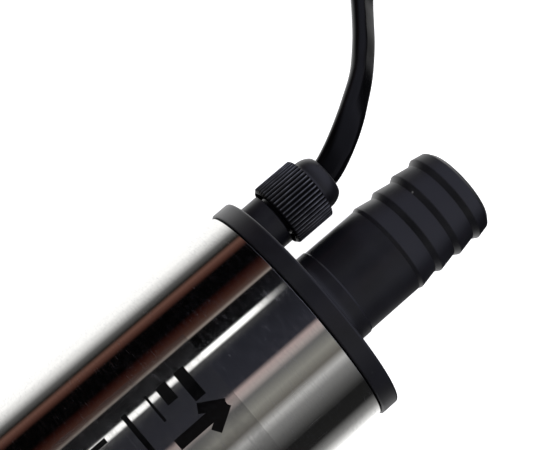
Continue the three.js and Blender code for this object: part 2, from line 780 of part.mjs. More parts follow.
for (const [tag, x, look] of [["red", redClipX, redPlastic], ["black", blackClipX, blackSleeve]]) {
  node(pump, `clip_${tag}_fixed_jaw`, placed(jaw(-1), x), platedSteel);
  node(pump, `clip_${tag}_moving_jaw`, placed(jaw(1), x, true), platedSteel);
  node(pump, `clip_${tag}_fixed_boot`, placed(boot(-1), x), look);
  node(pump, `clip_${tag}_moving_boot`, placed(boot(1), x, true), look);
  node(pump, `clip_${tag}_pin`, placed(pivot(), x), platedSteel);
  node(pump, `clip_${tag}_spring`, placed(clipSpring(), x), platedSteel);
}

const pumpAssembly = new THREE.Group();
pumpAssembly.add(pump);

export default pumpAssembly;
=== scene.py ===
import json
import math
import bmesh
import bpy
from mathutils import Matrix, Vector

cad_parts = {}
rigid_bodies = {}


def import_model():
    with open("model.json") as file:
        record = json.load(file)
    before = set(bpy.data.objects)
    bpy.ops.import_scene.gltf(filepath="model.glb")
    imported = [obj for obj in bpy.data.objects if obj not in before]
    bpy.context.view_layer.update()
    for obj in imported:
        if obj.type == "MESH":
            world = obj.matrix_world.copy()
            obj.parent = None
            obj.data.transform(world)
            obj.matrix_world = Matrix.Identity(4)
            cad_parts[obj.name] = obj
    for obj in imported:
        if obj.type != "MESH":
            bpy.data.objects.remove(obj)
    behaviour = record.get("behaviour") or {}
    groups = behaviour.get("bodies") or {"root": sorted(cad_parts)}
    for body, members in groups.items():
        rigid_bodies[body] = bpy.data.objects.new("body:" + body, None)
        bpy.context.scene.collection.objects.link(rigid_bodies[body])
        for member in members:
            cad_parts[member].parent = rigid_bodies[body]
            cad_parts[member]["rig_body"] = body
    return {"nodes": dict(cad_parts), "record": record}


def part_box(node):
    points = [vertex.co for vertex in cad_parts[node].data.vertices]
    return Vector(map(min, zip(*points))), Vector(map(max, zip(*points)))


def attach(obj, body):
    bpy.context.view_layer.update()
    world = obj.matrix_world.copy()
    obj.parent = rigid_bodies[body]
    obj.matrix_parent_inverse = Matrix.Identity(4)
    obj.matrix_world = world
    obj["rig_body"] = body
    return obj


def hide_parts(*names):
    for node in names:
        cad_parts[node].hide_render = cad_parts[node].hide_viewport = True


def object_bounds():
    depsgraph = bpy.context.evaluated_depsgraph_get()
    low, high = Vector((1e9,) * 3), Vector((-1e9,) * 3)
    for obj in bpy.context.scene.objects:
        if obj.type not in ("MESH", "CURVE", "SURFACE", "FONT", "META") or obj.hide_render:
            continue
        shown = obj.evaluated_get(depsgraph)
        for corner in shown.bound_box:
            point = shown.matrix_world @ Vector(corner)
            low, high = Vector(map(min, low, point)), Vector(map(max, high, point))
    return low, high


# The looks of a slim 12 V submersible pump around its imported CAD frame: a mirror-polished tube, a
# black moulded cap with a hose barb and a cable gland, a strainer, a coiled flat cable and two
# battery clips. Shapes are drawn in the pump's own millimetres: x = 0 is the joint between tube
# and flange, +X is the outlet, the gland is on the +Y side, and y = z = 0 is the tube's axis.
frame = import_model()
cad_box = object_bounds()

MM = 0.001
TURN = 2 * math.pi
gap = 0.3

tube_low, tube_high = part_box("outer_tube")
cap_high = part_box("top_cap")[1]
coil_low, coil_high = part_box("cable_coil")
label_low, label_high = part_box("label")
joint = Vector((tube_high.x + gap * MM, 0, (tube_low.z + tube_high.z) / 2))
floor_z = (cad_box[0][2] - joint.z) / MM


def local(point):
    """A point of the row frame in the pump's millimetres."""
    return (Vector(point) - joint) / MM


def row(point):
    """A point in the pump's millimetres in the row frame."""
    return joint + Vector(point) * MM


# ---------------------------------------------------------------- sizes
tube_radius = 25.5
tube_bore = 24.7
tube_start = local(tube_low).x
spigot_radius = tube_bore - gap
flange_radius = 26.0
flange_thickness = 4.0

outlet_y = -1.95
neck_radius = 10.2
crest_radius = 10.5
valley_radius = 9.75
outlet_bore = 7.4
outlet_tip = local(cap_high).x
first_crest = 23.3
barb_pitch = 5.2
barb_count = 4
barb_rise = 1.15

gland_y = 17.7
stem_radius = 5.75
stem_end = 9.6
stem_fillet = 0.9
stem_bore = 4.5
insert_start = 1.3
insert_radius = 4.2
insert_bore = 3.5
thread_radius = 4.6
thread_depth = 0.3
thread_pitch = 1.2
thread_end = 14.0
bush_seat = 4.0
nut_bore = 6.3
nut_neck = 5.3  # the nut's narrower bore, round the slip ring
nut_mouth = 3.6  # where the cable passes through the dome
nut_radius = 7.1
nut_start = 10.0
knurl_end = 19.5
dome_end = 23.4
ridge_count = 48
ridge_depth = 0.42

strainer_radius = 25.2
strainer_wall = 2.4
strainer_end = -131.0
strainer_floor = 2.0
base_flange_x = -112.0
inlet_bore = 8.5
collar_radius = 20.5
groove_floor = 22.3
side_slots_x = -123.3
side_slot_count = 20
end_slot_count = 12
screw_x = local(sum(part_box("base_screw_1"), Vector()) / 2).x
screw_angles = (90, 270)

cable_width = 6.2
cable_thickness = 4.0
cable_drop = 0.95  # how much lower a flat sheath lies than the frame's plain round one
layer_height = 4.15
column_pitch = 6.4
lead_radius = 1.2


# ---------------------------------------------------------------- mesh tools
def smooth(mesh, crease):
    mesh.shade_smooth()
    mesh.set_sharp_from_angle(angle=math.radians(crease))


def build(name, points, faces, crease=32):
    """A mesh object from points in the pump's millimetres."""
    mesh = bpy.data.meshes.new(name)
    mesh.from_pydata([[c * MM for c in p] for p in points], [], faces)
    shell = bmesh.new()
    shell.from_mesh(mesh)
    bmesh.ops.remove_doubles(shell, verts=shell.verts, dist=1e-6)
    bmesh.ops.dissolve_degenerate(shell, edges=shell.edges, dist=1e-6)
    bmesh.ops.recalc_face_normals(shell, faces=shell.faces)
    shell.to_mesh(mesh)
    shell.free()
    smooth(mesh, crease)
    made = bpy.data.objects.new(name, mesh)
    bpy.context.scene.collection.objects.link(made)
    made.location = joint
    return made


def baked(made):
    """Applies the modifiers of an object to its mesh."""
    bpy.context.view_layer.update()
    graph = bpy.context.evaluated_depsgraph_get()
    mesh = bpy.data.meshes.new_from_object(made.evaluated_get(graph))
    made.modifiers.clear()
    made.data = mesh
    return made


def combine(base, tools, operation, crease=32):
    """Joins tools to base, or cuts them out of it, one after another."""
    for tool in tools:
        step = base.modifiers.new("combine", "BOOLEAN")
        step.operation = operation
        step.solver = "EXACT"
        step.object = tool
        baked(base)
        bpy.data.objects.remove(tool)
    smooth(base.data, crease)
    return base


def finish_piece(made, look, body="pump", instead_of=()):
    made.data.materials.clear()
    made.data.materials.append(look)
    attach(made, body)
    if instead_of:
        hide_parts(*instead_of)
    return made


def eased(outline, default=0.25, steps=4, hold=0.06):
    """The closed outline with each corner eased into a small arc. A point may hold its own radius.
    A holding point beside each end of an arc keeps the long faces between arcs flat."""
    result = []
    for i, (x, r, *own) in enumerate(outline):
        radius = own[0] if own else default
        if radius == 0 or r == 0:
            result.append((x, r))
            continue
        here = Vector((x, r))
        back = Vector(outline[i - 1][:2]) - here
        ahead = Vector(outline[(i + 1) % len(outline)][:2]) - here
        half = back.angle(ahead) / 2
        cut = min(radius / math.tan(half), 0.45 * back.length, 0.45 * ahead.length)
        start = here + back.normalized() * cut
        end = here + ahead.normalized() * cut
        arc = [start * (1 - t) ** 2 + here * 2 * t * (1 - t) + end * t ** 2
               for t in (k / steps for k in range(steps + 1))]
        if back.length > 2 * cut + 4 * hold:
            arc.insert(0, start + back.normalized() * hold)
        if ahead.length > 2 * cut + 4 * hold:
            arc.append(end + ahead.normalized() * hold)
        result += [(spot.x, spot.y) for spot in arc]
    return result


def lathe(name, outline, sides, centre_y=0.0, shape=None, crease=32):
    """Turned about X from a closed outline of (x, radius) points."""
    points = []
    faces = []
    count = len(outline)
    for j in range(sides):
        angle = TURN * j / sides
        for x, r in outline:
            radius = shape(x, r, angle) if shape else r
            points.append((x, centre_y + radius * math.cos(angle), radius * math.sin(angle)))
        k = (j + 1) % sides
        for i in range(count):
            n = (i + 1) % count
            faces.append((j * count + i, j * count + n, k * count + n, k * count + i))
    return build(name, points, faces, crease)


def smooth_line(points, spacing=1.0):
    """A centripetal curve through the points, sampled about every spacing millimetres."""
    spots = [Vector(p) for p in points]
    spots = [spots[0] * 2 - spots[1], *spots, spots[-1] * 2 - spots[-2]]
    line = []
    for i in range(1, len(spots) - 2):
        p0, p1, p2, p3 = spots[i - 1:i + 3]
        t1 = (p1 - p0).length ** 0.5
        t2 = t1 + (p2 - p1).length ** 0.5
        t3 = t2 + (p3 - p2).length ** 0.5
        count = max(2, round((p2 - p1).length / spacing))
        for k in range(count):
            t = t1 + (t2 - t1) * k / count
            a1 = p0 * ((t1 - t) / t1) + p1 * (t / t1)
            a2 = p1 * ((t2 - t) / (t2 - t1)) + p2 * ((t - t1) / (t2 - t1))
            a3 = p2 * ((t3 - t) / (t3 - t2)) + p3 * ((t - t2) / (t3 - t2))
            b1 = a1 * ((t2 - t) / t2) + a2 * (t / t2)
            b2 = a2 * ((t3 - t) / (t3 - t1)) + a3 * ((t - t1) / (t3 - t1))
            line.append(b1 * ((t2 - t) / (t2 - t1)) + b2 * ((t - t1) / (t2 - t1)))
    line.append(spots[-2].copy())
    return line


def ramp(value, start, end):
    """0 before start, 1 after end, and smooth between them."""
    t = min(max((value - start) / (end - start), 0.0), 1.0)
    return t * t * (3 - 2 * t)


def circle(radius, sides=32):
    return [(radius * math.cos(TURN * k / sides), radius * math.sin(TURN * k / sides))
            for k in range(sides)]


def stadium(width, thickness, arc=10):
    """The section of a flat cord, as (across, up) points."""
    radius = thickness / 2
    reach = width / 2 - radius
    section = []
    for side in (1, -1):
        for k in range(arc + 1):
            angle = math.pi * (k / arc - 0.5 * side)
            section.append((side * reach + radius * math.cos(angle), radius * math.sin(angle)))
    return section


def sweep(name, line, section, twist=None, crease=50):
    """A closed tube of the section along the line, its width level except where twist turns it."""
    points = []
    faces = []
    count = len(section)
    travelled = 0.0
    for i, here in enumerate(line):
        before = line[max(i - 1, 0)]
        after = line[min(i + 1, len(line) - 1)]
        along = (after - before).normalized()
        across = along.cross(Vector((0, 0, 1))).normalized()
        up = across.cross(along)
        if i:
            travelled += (here - before).length
        turn = twist(travelled) if twist else 0.0
        wide = across * math.cos(turn) + up * math.sin(turn)
        high = up * math.cos(turn) - across * math.sin(turn)
        points += [here + wide * u + high * v for u, v in section]
    for i in range(len(line) - 1):
        for k in range(count):
            n = (k + 1) % count
            faces.append((i * count + k, i * count + n, (i + 1) * count + n, (i + 1) * count + k))
    faces.append(tuple(range(count)))
    faces.append(tuple(reversed(range(len(points) - count, len(points)))))
    return build(name, points, faces, crease)


# ---------------------------------------------------------------- camera
def tone(r, g, b):
    """Screen levels, 0 to 255, as a linear colour."""
    levels = [c / 255 for c in (r, g, b)]
    return [c / 12.92 if c < 0.04045 else ((c + 0.055) / 1.055) ** 2.4 for c in levels] + [1.0]


def grey(level):
    return tone(level, level, level)


def make_camera():
    """Almost straight above the cap, a forearm's length away."""
    data = bpy.data.cameras.new("camera")
    data.lens = 83.3
    data.sensor_width = 36
    data.clip_start = 0.01
    camera = bpy.data.objects.new("camera", data)
    bpy.context.scene.collection.objects.link(camera)
    forward = Vector((0.147, 0.067, -0.987)).normalized()
    right = Vector((0.753, -0.655, 0.068))
    right = (right - forward * right.dot(forward)).normalized()
    up = right.cross(forward)
    camera.matrix_world = Matrix.Translation(row((-29.13, -0.72, 255.16))) @ Matrix(
        (right, up, -forward)).transposed().to_4x4()
    bpy.context.scene.camera = camera


# ---------------------------------------------------------------- studio
# What the tube mirrors, as bands round its axis: degrees from +Y (the gland side) over the top.
STUDIO_BANDS = [
    (-180, grey(30)), (-158, grey(34)), (-140, grey(150)), (-115, grey(282)),
    (-40, grey(282)), (-27, grey(236)), (-15, grey(100)), (-7, tone(30, 28, 25)),
    (-2, tone(112, 80, 70)), (4, tone(74, 46, 39)), (8, grey(3)), (26, grey(2)),
    (31, tone(40, 16, 12)), (37, tone(64, 40, 33)), (42, tone(88, 72, 66)),
    (43, tone(196, 184, 176)), (44.5, grey(6)), (60.5, grey(3)), (62, grey(330)),
    (65.5, grey(330)), (67.5, grey(76)), (74, tone(38, 39, 46)), (103, tone(44, 45, 53)),
    (107, tone(186, 168, 166)), (112, tone(176, 166, 164)), (117, grey(104)),
    (128, tone(146, 145, 139)), (138, tone(106, 103, 98)), (146, grey(196)),
    (154, grey(136)), (166, grey(96)), (178, grey(48)),
]
# The long lamp among them: its band in degrees, and where it fades, as the direction's x.
LAMP_BAND = (52, 76)
LAMP_END = (0.118, 0.085)


def fill_ramp(node, stops):
    ramp_data = node.color_ramp
    while len(ramp_data.elements) > 1:
        ramp_data.elements.remove(ramp_data.elements[-1])
    ramp_data.elements[0].position = stops[0][0]
    ramp_data.elements[0].color = stops[0][1]
    for place, color in stops[1:]:
        element = ramp_data.elements.new(place)
        element.color = color


class Nodes:
    """Adds and links shader nodes with short calls."""

    def __init__(self, tree):
        self.tree = tree
        self.out = None
        self.tree.nodes.clear()

    def add(self, kind, settings=None, **inputs):
        node = self.tree.nodes.new(kind)
        for key, value in (settings or {}).items():
            setattr(node, key, value)
        for key, value in inputs.items():
            self.put(node, key.replace("_", " "), value)
        return node

    def put(self, node, key, value):
        socket = node.inputs[int(key)] if str(key).isdigit() else node.inputs[key]
        if isinstance(value, bpy.types.NodeSocket):
            self.tree.links.new(value, socket)
        else:
            socket.default_value = value

    def math(self, operation, *values, clamp=False):
        node = self.add("ShaderNodeMath", {"operation": operation, "use_clamp": clamp})
        for i, value in enumerate(values):
            self.put(node, i, value)
        return node.outputs[0]

    def mix(self, factor, a, b, blend="MIX"):
        node = self.add("ShaderNodeMix", {"data_type": "RGBA", "blend_type": blend})
        self.put(node, 0, factor)
        self.put(node, 6, a)
        self.put(node, 7, b)
        return node.outputs[2]

    def between(self, value, low, high, to_low=0.0, to_high=1.0, smooth_step=True):
        kind = "SMOOTHSTEP" if smooth_step else "LINEAR"
        node = self.add("ShaderNodeMapRange", {"interpolation_type": kind})
        for key, number in (("Value", value), ("From Min", low), ("From Max", high),
                            ("To Min", to_low), ("To Max", to_high)):
            self.put(node, key, number)
        return node.outputs[0]

    def noise(self, place, scale, detail=3.0, roughness=0.55):
        node = self.add("ShaderNodeTexNoise", Scale=scale, Detail=detail, Roughness=roughness)
        self.put(node, "Vector", place)
        return node.outputs[0]

    def stretched(self, place, scale):
        node = self.add("ShaderNodeMapping")
        self.put(node, "Vector", place)
        self.put(node, "Scale", scale)
        return node.outputs[0]


def make_world():
    """Lamps and dark boards all round, and plain white where the camera looks past the pump."""
    world = bpy.data.worlds.new("studio")
    bpy.context.scene.world = world
    world.use_nodes = True
    n = Nodes(world.node_tree)
    away = n.add("ShaderNodeTexCoord").outputs["Generated"]
    split = n.add("ShaderNodeSeparateXYZ")
    n.put(split, 0, away)
    x, y, z = split.outputs
    angle = n.math("MULTIPLY_ADD", n.math("ARCTAN2", z, y), 1 / TURN, 0.5)
    bands = [((degrees + 180) / 360, color) for degrees, color in STUDIO_BANDS]
    without = [stop for stop in bands
               if not LAMP_BAND[0] < stop[0] * 360 - 180 < LAMP_BAND[1]]
    whole = n.add("ShaderNodeValToRGB", Fac=angle)
    fill_ramp(whole, bands)
    dark = n.add("ShaderNodeValToRGB", Fac=angle)
    fill_ramp(dark, without)
    lamp = n.between(x, *LAMP_END)
    sides = n.mix(lamp, dark.outputs[0], whole.outputs[0])
    high = n.between(z, -0.15, 0.2)
    behind = n.math("MULTIPLY", n.between(x, -0.2, -0.6), high)
    ahead = n.math("MULTIPLY", n.between(x, 0.14, 0.62), high)
    # a dark board below the outlet, on the side away from the gland
    under = n.math("MULTIPLY", n.between(z, 0.15, -0.25), n.between(x, 0.11, 0.17))
    below = n.math("MULTIPLY", under, n.between(y, 0.15, -0.25))
    # darkness behind the pump, with one narrow strip lamp in it
    rearward = n.between(x, -0.2, -0.5)
    glint = n.math("MULTIPLY", n.between(x, -0.58, -0.62), n.between(x, -0.70, -0.66))
    sides = n.mix(behind, sides, grey(4))
    sides = n.mix(rearward, sides, grey(4))
    sides = n.mix(n.math("MULTIPLY", glint, high), sides, grey(250))
    sides = n.mix(below, sides, tone(34, 33, 36))
    sides = n.mix(ahead, sides, tone(206, 208, 232))
    seen = n.add("ShaderNodeLightPath").outputs["Is Camera Ray"]
    light = n.add("ShaderNodeBackground", Color=n.mix(seen, sides, grey(246)), Strength=1.0)
    out = n.add("ShaderNodeOutputWorld")
    n.put(out, "Surface", light.outputs[0])


def make_floor():
    mesh = bpy.data.meshes.new("floor")
    reach = 1.6
    corners = [(-reach, -reach), (reach, -reach), (reach, reach), (-reach, reach)]
    mesh.from_pydata([(x, y, cad_box[0][2] - 0.0002) for x, y in corners], [], [(0, 1, 2, 3)])
    floor = bpy.data.objects.new("floor", mesh)
    bpy.context.scene.collection.objects.link(floor)
    floor.visible_glossy = False
    look = bpy.data.materials.new("floor")
    look.use_nodes = True
    n = Nodes(look.node_tree)
    paint = n.add("ShaderNodeBsdfPrincipled", Roughness=0.9)
    n.put(paint, "Base Color", (0.85, 0.85, 0.85, 1))
    n.put(paint, "Emission Color", (1, 1, 1, 1))
    n.put(paint, "Emission Strength", 0.93)
    out = n.add("ShaderNodeOutputMaterial")
    n.put(out, "Surface", paint.outputs[0])
    mesh.materials.append(look)


def make_lamp(name, place, target, size, power, glossy=False):
    data = bpy.data.lights.new(name, "AREA")
    data.shape = "RECTANGLE"
    data.size, data.size_y = size
    data.energy = power
    lamp = bpy.data.objects.new(name, data)
    bpy.context.scene.collection.objects.link(lamp)
    lamp.location = row(place)
    aim = row(target) - row(place)
    lamp.rotation_euler = aim.to_track_quat("-Z", "Y").to_euler()
    lamp.visible_glossy = glossy
    return lamp


def make_studio():
    make_camera()
    make_world()
    make_floor()
    make_lamp("overhead_fill", (60, -40, 900), (40, 0, 0), (1.4, 1.4), 7)
    bpy.context.scene.view_settings.view_transform = "Standard"
    bpy.context.scene.view_settings.look = "None"


make_studio()


# ---------------------------------------------------------------- materials
def begin(name):
    look = bpy.data.materials.new(name)
    look.use_nodes = True
    n = Nodes(look.node_tree)
    surface = n.add("ShaderNodeBsdfPrincipled")
    n.out = n.add("ShaderNodeOutputMaterial")
    n.put(n.out, "Surface", surface.outputs[0])
    place = n.add("ShaderNodeTexCoord").outputs["Object"]
    return look, n, surface, place


def bump(n, surface, height, strength, distance):
    node = n.add("ShaderNodeBump", Strength=strength, Distance=distance, Height=height)
    n.put(surface, "Normal", node.outputs[0])


def moulded(name, color, roughness, grain=0.12, marks=0.0, specular=0.5, tint=None):
    """Moulded plastic or rubber: fine sparked grain, cloudy gloss and a few pale specks of dust."""
    look, n, surface, place = begin(name)
    cloud = n.noise(place, 90, 4)
    fine = n.noise(place, 3200, 2)
    other = tint or [c * 1.6 + 0.002 for c in color[:3]] + [1]
    base = n.mix(n.between(cloud, 0.35, 0.75), list(color[:3]) + [1], other)
    if marks:
        speck = n.add("ShaderNodeTexVoronoi", Scale=230)
        n.put(speck, "Vector", place)
        spot = n.between(speck.outputs["Distance"], 0.075, 0.03)
        rare = n.between(n.noise(place, 160, 1), 0.56, 0.66)
        base = n.mix(n.math("MULTIPLY", n.math("MULTIPLY", spot, rare), marks), base, grey(150))
    n.put(surface, "Base Color", base)
    n.put(surface, "Specular IOR Level", specular)
    n.put(surface, "Roughness", n.between(cloud, 0.3, 0.8, roughness - 0.05, roughness + 0.07))
    bump(n, surface, fine, grain, 0.00008)
    return look


def mirror_steel():
    """Polished tube: hairlines run round it, with a fainter haze and a few scratches along it."""
    look, n, surface, place = begin("mirror_steel")
    split = n.add("ShaderNodeSeparateXYZ")
    n.put(split, 0, place)
    x, y, z = split.outputs
    round_it = n.math("ARCTAN2", z, y)
    wrapped = n.add("ShaderNodeCombineXYZ")
    n.put(wrapped, 0, n.math("MULTIPLY", x, 9000))
    n.put(wrapped, 1, n.math("MULTIPLY", round_it, 7))
    hair = n.noise(wrapped.outputs[0], 1.0, 5, 0.7)
    coarse = n.add("ShaderNodeCombineXYZ")
    n.put(coarse, 0, n.math("MULTIPLY", x, 1500))
    n.put(coarse, 1, n.math("MULTIPLY", round_it, 11))
    band = n.noise(coarse.outputs[0], 1.0, 3, 0.6)
    worn = n.math("MULTIPLY", n.between(hair, 0.42, 0.66), n.between(band, 0.36, 0.66))
    cloud = n.noise(place, 160, 3)
    haze = n.math("MULTIPLY", worn, n.between(cloud, 0.35, 0.65, 0.35, 1.0))
    along = n.add("ShaderNodeCombineXYZ")
    n.put(along, 0, n.math("MULTIPLY", x, 26))
    n.put(along, 1, n.math("MULTIPLY", round_it, 150))
    scratch = n.between(n.noise(along.outputs[0], 1.0, 2, 0.5), 0.735, 0.76)
    n.put(surface, "Base Color", tone(228, 227, 224))
    n.put(surface, "Metallic", 1.0)
    n.put(surface, "Roughness", n.math("MAXIMUM", 0.055, n.math("MULTIPLY", scratch, 0.3)))
    bump(n, surface, hair, 0.03, 0.00004)
    # the brushed share of the surface scatters, over the polished rest
    hazy = n.add("ShaderNodeBsdfPrincipled", Metallic=1.0, Roughness=0.3)
    n.put(hazy, "Base Color", tone(206, 208, 214))
    both = n.add("ShaderNodeMixShader", Fac=n.math("MULTIPLY_ADD", haze, 0.4, 0.004))
    n.put(both, 1, surface.outputs[0])
    n.put(both, 2, hazy.outputs[0])
    n.put(n.out, "Surface", both.outputs[0])
    return look


def rubbed_knurl():
    """The nut's plastic, with a painted highlight on the crests of its ridges, broken up by noise, and
    painted shade between them.
    """
    look, n, surface, place = begin("rubbed_knurl")
    split = n.add("ShaderNodeSeparateXYZ")
    n.put(split, 0, place)
    x, y, z = split.outputs
    across = n.math("SUBTRACT", y, gland_y * MM)
    reach = n.math("SQRT", n.math("ADD", n.math("MULTIPLY", across, across), n.math("MULTIPLY", z, z)))
    # painted highlight: the outer crests of the knurl get a paler, bluish colour, patchy by noise
    crest = n.between(reach, (nut_radius - 0.13) * MM, (nut_radius - 0.01) * MM)
    knurled = n.between(x, (knurl_end + 0.05) * MM, (knurl_end - 0.05) * MM)
    highlight_breakup = n.between(n.noise(place, 500, 3), 0.3, 0.7, 0.35, 1.0)
    crest_highlight = n.math("MULTIPLY", n.math("MULTIPLY", crest, knurled), highlight_breakup)
    # painted shade: the valleys between the ridges get a near-black colour and a lower specular level
    valley = n.between(reach, (nut_radius - 0.2) * MM, (nut_radius - 0.4) * MM)
    dark = n.math("MULTIPLY", valley, knurled)
    base = n.mix(crest_highlight, tone(16, 16, 20), tone(104, 106, 114))
    n.put(surface, "Base Color", n.mix(dark, base, tone(3, 3, 4)))
    n.put(surface, "Specular IOR Level", n.between(dark, 0, 1, 0.5, 0.1, False))
    n.put(surface, "Roughness", n.between(n.noise(place, 90, 4), 0.3, 0.8, 0.36, 0.48))
    bump(n, surface, n.noise(place, 3200, 2), 0.12, 0.00008)
    return look


def bare_metal(name, color, roughness, streak=(400, 400, 400)):
    """Drawn, turned or plated metal with fine tool streaks and uneven tarnish."""
    look, n, surface, place = begin(name)
    lines = n.noise(n.stretched(place, streak), 6.0, 4, 0.6)
    cloud = n.noise(place, 140, 3)
    dull = [c * 0.62 for c in color[:3]] + [1]
    n.put(surface, "Base Color", n.mix(n.between(cloud, 0.35, 0.8), list(color[:3]) + [1], dull))
    n.put(surface, "Metallic", 1.0)
    n.put(surface, "Roughness", n.between(lines, 0.25, 0.8, roughness - 0.08, roughness + 0.14))
    bump(n, surface, lines, 0.15, 0.00005)
    return look


def film():
    """Clear printed film: faintly grey, with soft ripples from the glue."""
    look, n, surface, place = begin("clear_film")
    ripple = n.noise(place, 260, 3)
    n.put(surface, "Base Color", grey(70))
    n.put(surface, "Roughness", n.between(ripple, 0.3, 0.7, 0.2, 0.34))
    n.put(surface, "Alpha", n.between(ripple, 0.35, 0.7, 0.05, 0.12))
    bump(n, surface, ripple, 0.15, 0.0002)
    return look


def print_ink():
    look, n, surface, place = begin("print_ink")
    worn = n.noise(place, 1500, 3)
    n.put(surface, "Base Color", n.mix(n.between(worn, 0.4, 0.9), grey(0), grey(8)))
    n.put(surface, "Specular IOR Level", 0.2)
    n.put(surface, "Roughness", n.between(worn, 0.3, 0.8, 0.3, 0.5))
    return look


def sintered(name, color, roughness):
    """Carbon or ferrite: dark, granular and dull."""
    look, n, surface, place = begin(name)
    grit = n.noise(place, 2600, 4, 0.7)
    n.put(surface, "Base Color", n.mix(grit, list(color[:3]) + [1], [c * 2.2 for c in color[:3]] + [1]))
    n.put(surface, "Roughness", n.between(grit, 0.2, 0.9, roughness - 0.1, roughness + 0.1))
    bump(n, surface, grit, 0.3, 0.0001)
    return look


def wound_copper():
    """Enamelled wire: fine round strands side by side."""
    look, n, surface, place = begin("wound_copper")
    settings = {"wave_profile": "SIN", "bands_direction": "Z"}
    wires = n.add("ShaderNodeTexWave", settings, Scale=330, Distortion=2.5)
    n.put(wires, "Vector", place)
    n.put(surface, "Base Color", n.mix(wires.outputs["Fac"], tone(96, 44, 22), tone(196, 116, 70)))
    n.put(surface, "Metallic", 0.85)
    n.put(surface, "Roughness", n.between(wires.outputs["Fac"], 0, 1, 0.5, 0.28))
    bump(n, surface, wires.outputs["Fac"], 0.6, 0.0002)
    return look


LOOKS = {
    "polished_steel": mirror_steel(),
    "plated_steel": bare_metal("plated_steel", tone(205, 206, 210), 0.28),
    "brass": bare_metal("brass", tone(214, 176, 104), 0.3),
    "copper": wound_copper(),
    "carbon": sintered("carbon", tone(34, 34, 38), 0.6),
    "ferrite": sintered("ferrite", tone(52, 49, 48), 0.75),
    "black_plastic": moulded("black_plastic", tone(13, 13, 17), 0.4, marks=0.5, tint=tone(20, 20, 26)),
    "grey_plastic": moulded("grey_plastic", tone(92, 95, 98), 0.5),
    "white_plastic": moulded("white_plastic", tone(216, 212, 203), 0.42, tint=tone(204, 199, 187)),
    "black_rubber": moulded("black_rubber", tone(16, 16, 18), 0.68, grain=0.2, tint=tone(24, 24, 26)),
    "clear_film": film(),
    "black_cable": moulded("black_cable", tone(5, 5, 6), 0.16, grain=0.03, marks=0.9, specular=0.12,
                          tint=tone(8, 8, 10)),
    "red_plastic": moulded("red_plastic", tone(176, 26, 22), 0.3, grain=0.05, tint=tone(158, 20, 18)),
    "black_sleeve": moulded("black_sleeve", tone(15, 15, 17), 0.32, grain=0.05, tint=tone(22, 22, 24)),
}
INK = print_ink()
KNURL = rubbed_knurl()


# ---------------------------------------------------------------- cable, leads and coil
CABLE_ROUTE = [
    (3, gland_y, 0), (9, gland_y, 0), (15, gland_y, 0), (20, 17.75, 0), (24, 18.1, 0),
    (28.2, 19.6, -0.3), (31.8, 21.3, -1.1), (35.4, 23.2, -2.5), (39.6, 25.7, -5),
    (45.2, 29.3, -8.8), (49.1, 32.4, -12), (53, 35.9, -15), (57, 39.9, -18),
    (61.2, 44.3, -20.8), (66, 49.2, -22.5), (72.5, 54.2, -22.9), (81, 58.2, -22.9),
    (92, 60.8, -22.9), (104, 61.6, -22.9), (119.5, 61.6, -22.9),
]
RED_ROUTE = [
    (197.8, 60, 4), (199.9, 59.8, 3.6), (201.8, 57.4, 2.6), (202.3, 52, 1.4), (199, 46, 1.4),
    (194.5, 41, 2.4), (191.9, 35.5, 4.2), (191.6, 29.3, 5),
]
BLACK_ROUTE = [
    (197.8, 63.2, 4), (200.5, 63.2, 3.6), (205, 63, 2.2), (210.5, 61.4, 1.4), (216, 57, 1.4),
    (219.3, 50, 1.4), (219.6, 43, 2), (219, 36, 4.2), (218.8, 29.3, 5),
]
TAIL_END = [(168.5, 61.6, 6.4), (172.5, 61.6, 5), (177.5, 61.6, 4.1), (182.2, 61.6, 4)]
coil_centre = local((coil_low + coil_high) / 2)
lying_y = 61.6
outer_turn = 41.1
bottom_layer = floor_z + cable_thickness / 2 + 0.15
strap_angle = math.radians(-100)
strap_lift = 0.95


def coil_turns():
    """Four turns inwards on the floor, then back outwards on top: seven whole turns."""
    line = []
    steps = 96
    for i in range(1, 7 * steps):
        turn, part = divmod(i / steps, 1)
        if turn < 3:
            column = turn + ramp(part, 0.75, 1.0)
            height = 0.0
        elif turn == 3:
            column = 3.0
            height = ramp(part, 0.45, 0.75)
        else:
            column = 7 - turn - ramp(part, 0.2, 0.5)
            height = 1.0
        radius = outer_turn - column_pitch * column
        angle = math.pi / 2 - TURN * part
        away = (angle - strap_angle + math.pi) % TURN - math.pi
        lift = strap_lift * math.exp(-(away * radius / 9) ** 2)
        line.append(Vector((
            coil_centre.x + radius * math.cos(angle),
            coil_centre.y + radius * math.sin(angle),
            bottom_layer + layer_height * height + lift,
        )))
    return line


def cable_line():
    """The free stretch, the coil and the tail, as one line from inside the gland to the splitter."""
    settled = [(x, y, z - cable_drop * ramp(z, -14, -22.9)) for x, y, z in CABLE_ROUTE]
    turns = coil_turns()
    tail = [(x, y, floor_z + z) for x, y, z in TAIL_END]
    joining = [turns[k] for k in (0, 3, 6)]
    leaving = [turns[k] for k in (-7, -4, -1)]
    first = smooth_line([*settled, (132, lying_y, bottom_layer), *joining], 1.2)
    top_layer = bottom_layer + layer_height
    coming_down = [(150, lying_y, top_layer), (160, lying_y, floor_z + 6.35)]
    last = smooth_line([*leaving, *coming_down, *tail], 1.2)
    return [*first, *turns[7:-8], *last]


def roll(travelled):
    """The flat sheath leaves the gland level, rolls on its way down and lies flat on the floor."""
    return math.radians(-52) * ramp(travelled, 22, 50) * (1 - ramp(travelled, 66, 104))


def thinned(line, spacing):
    kept = [line[0]]
    for spot in line[1:-1]:
        if (spot - kept[-1]).length > spacing:
            kept.append(spot)
    return [*kept, line[-1]]


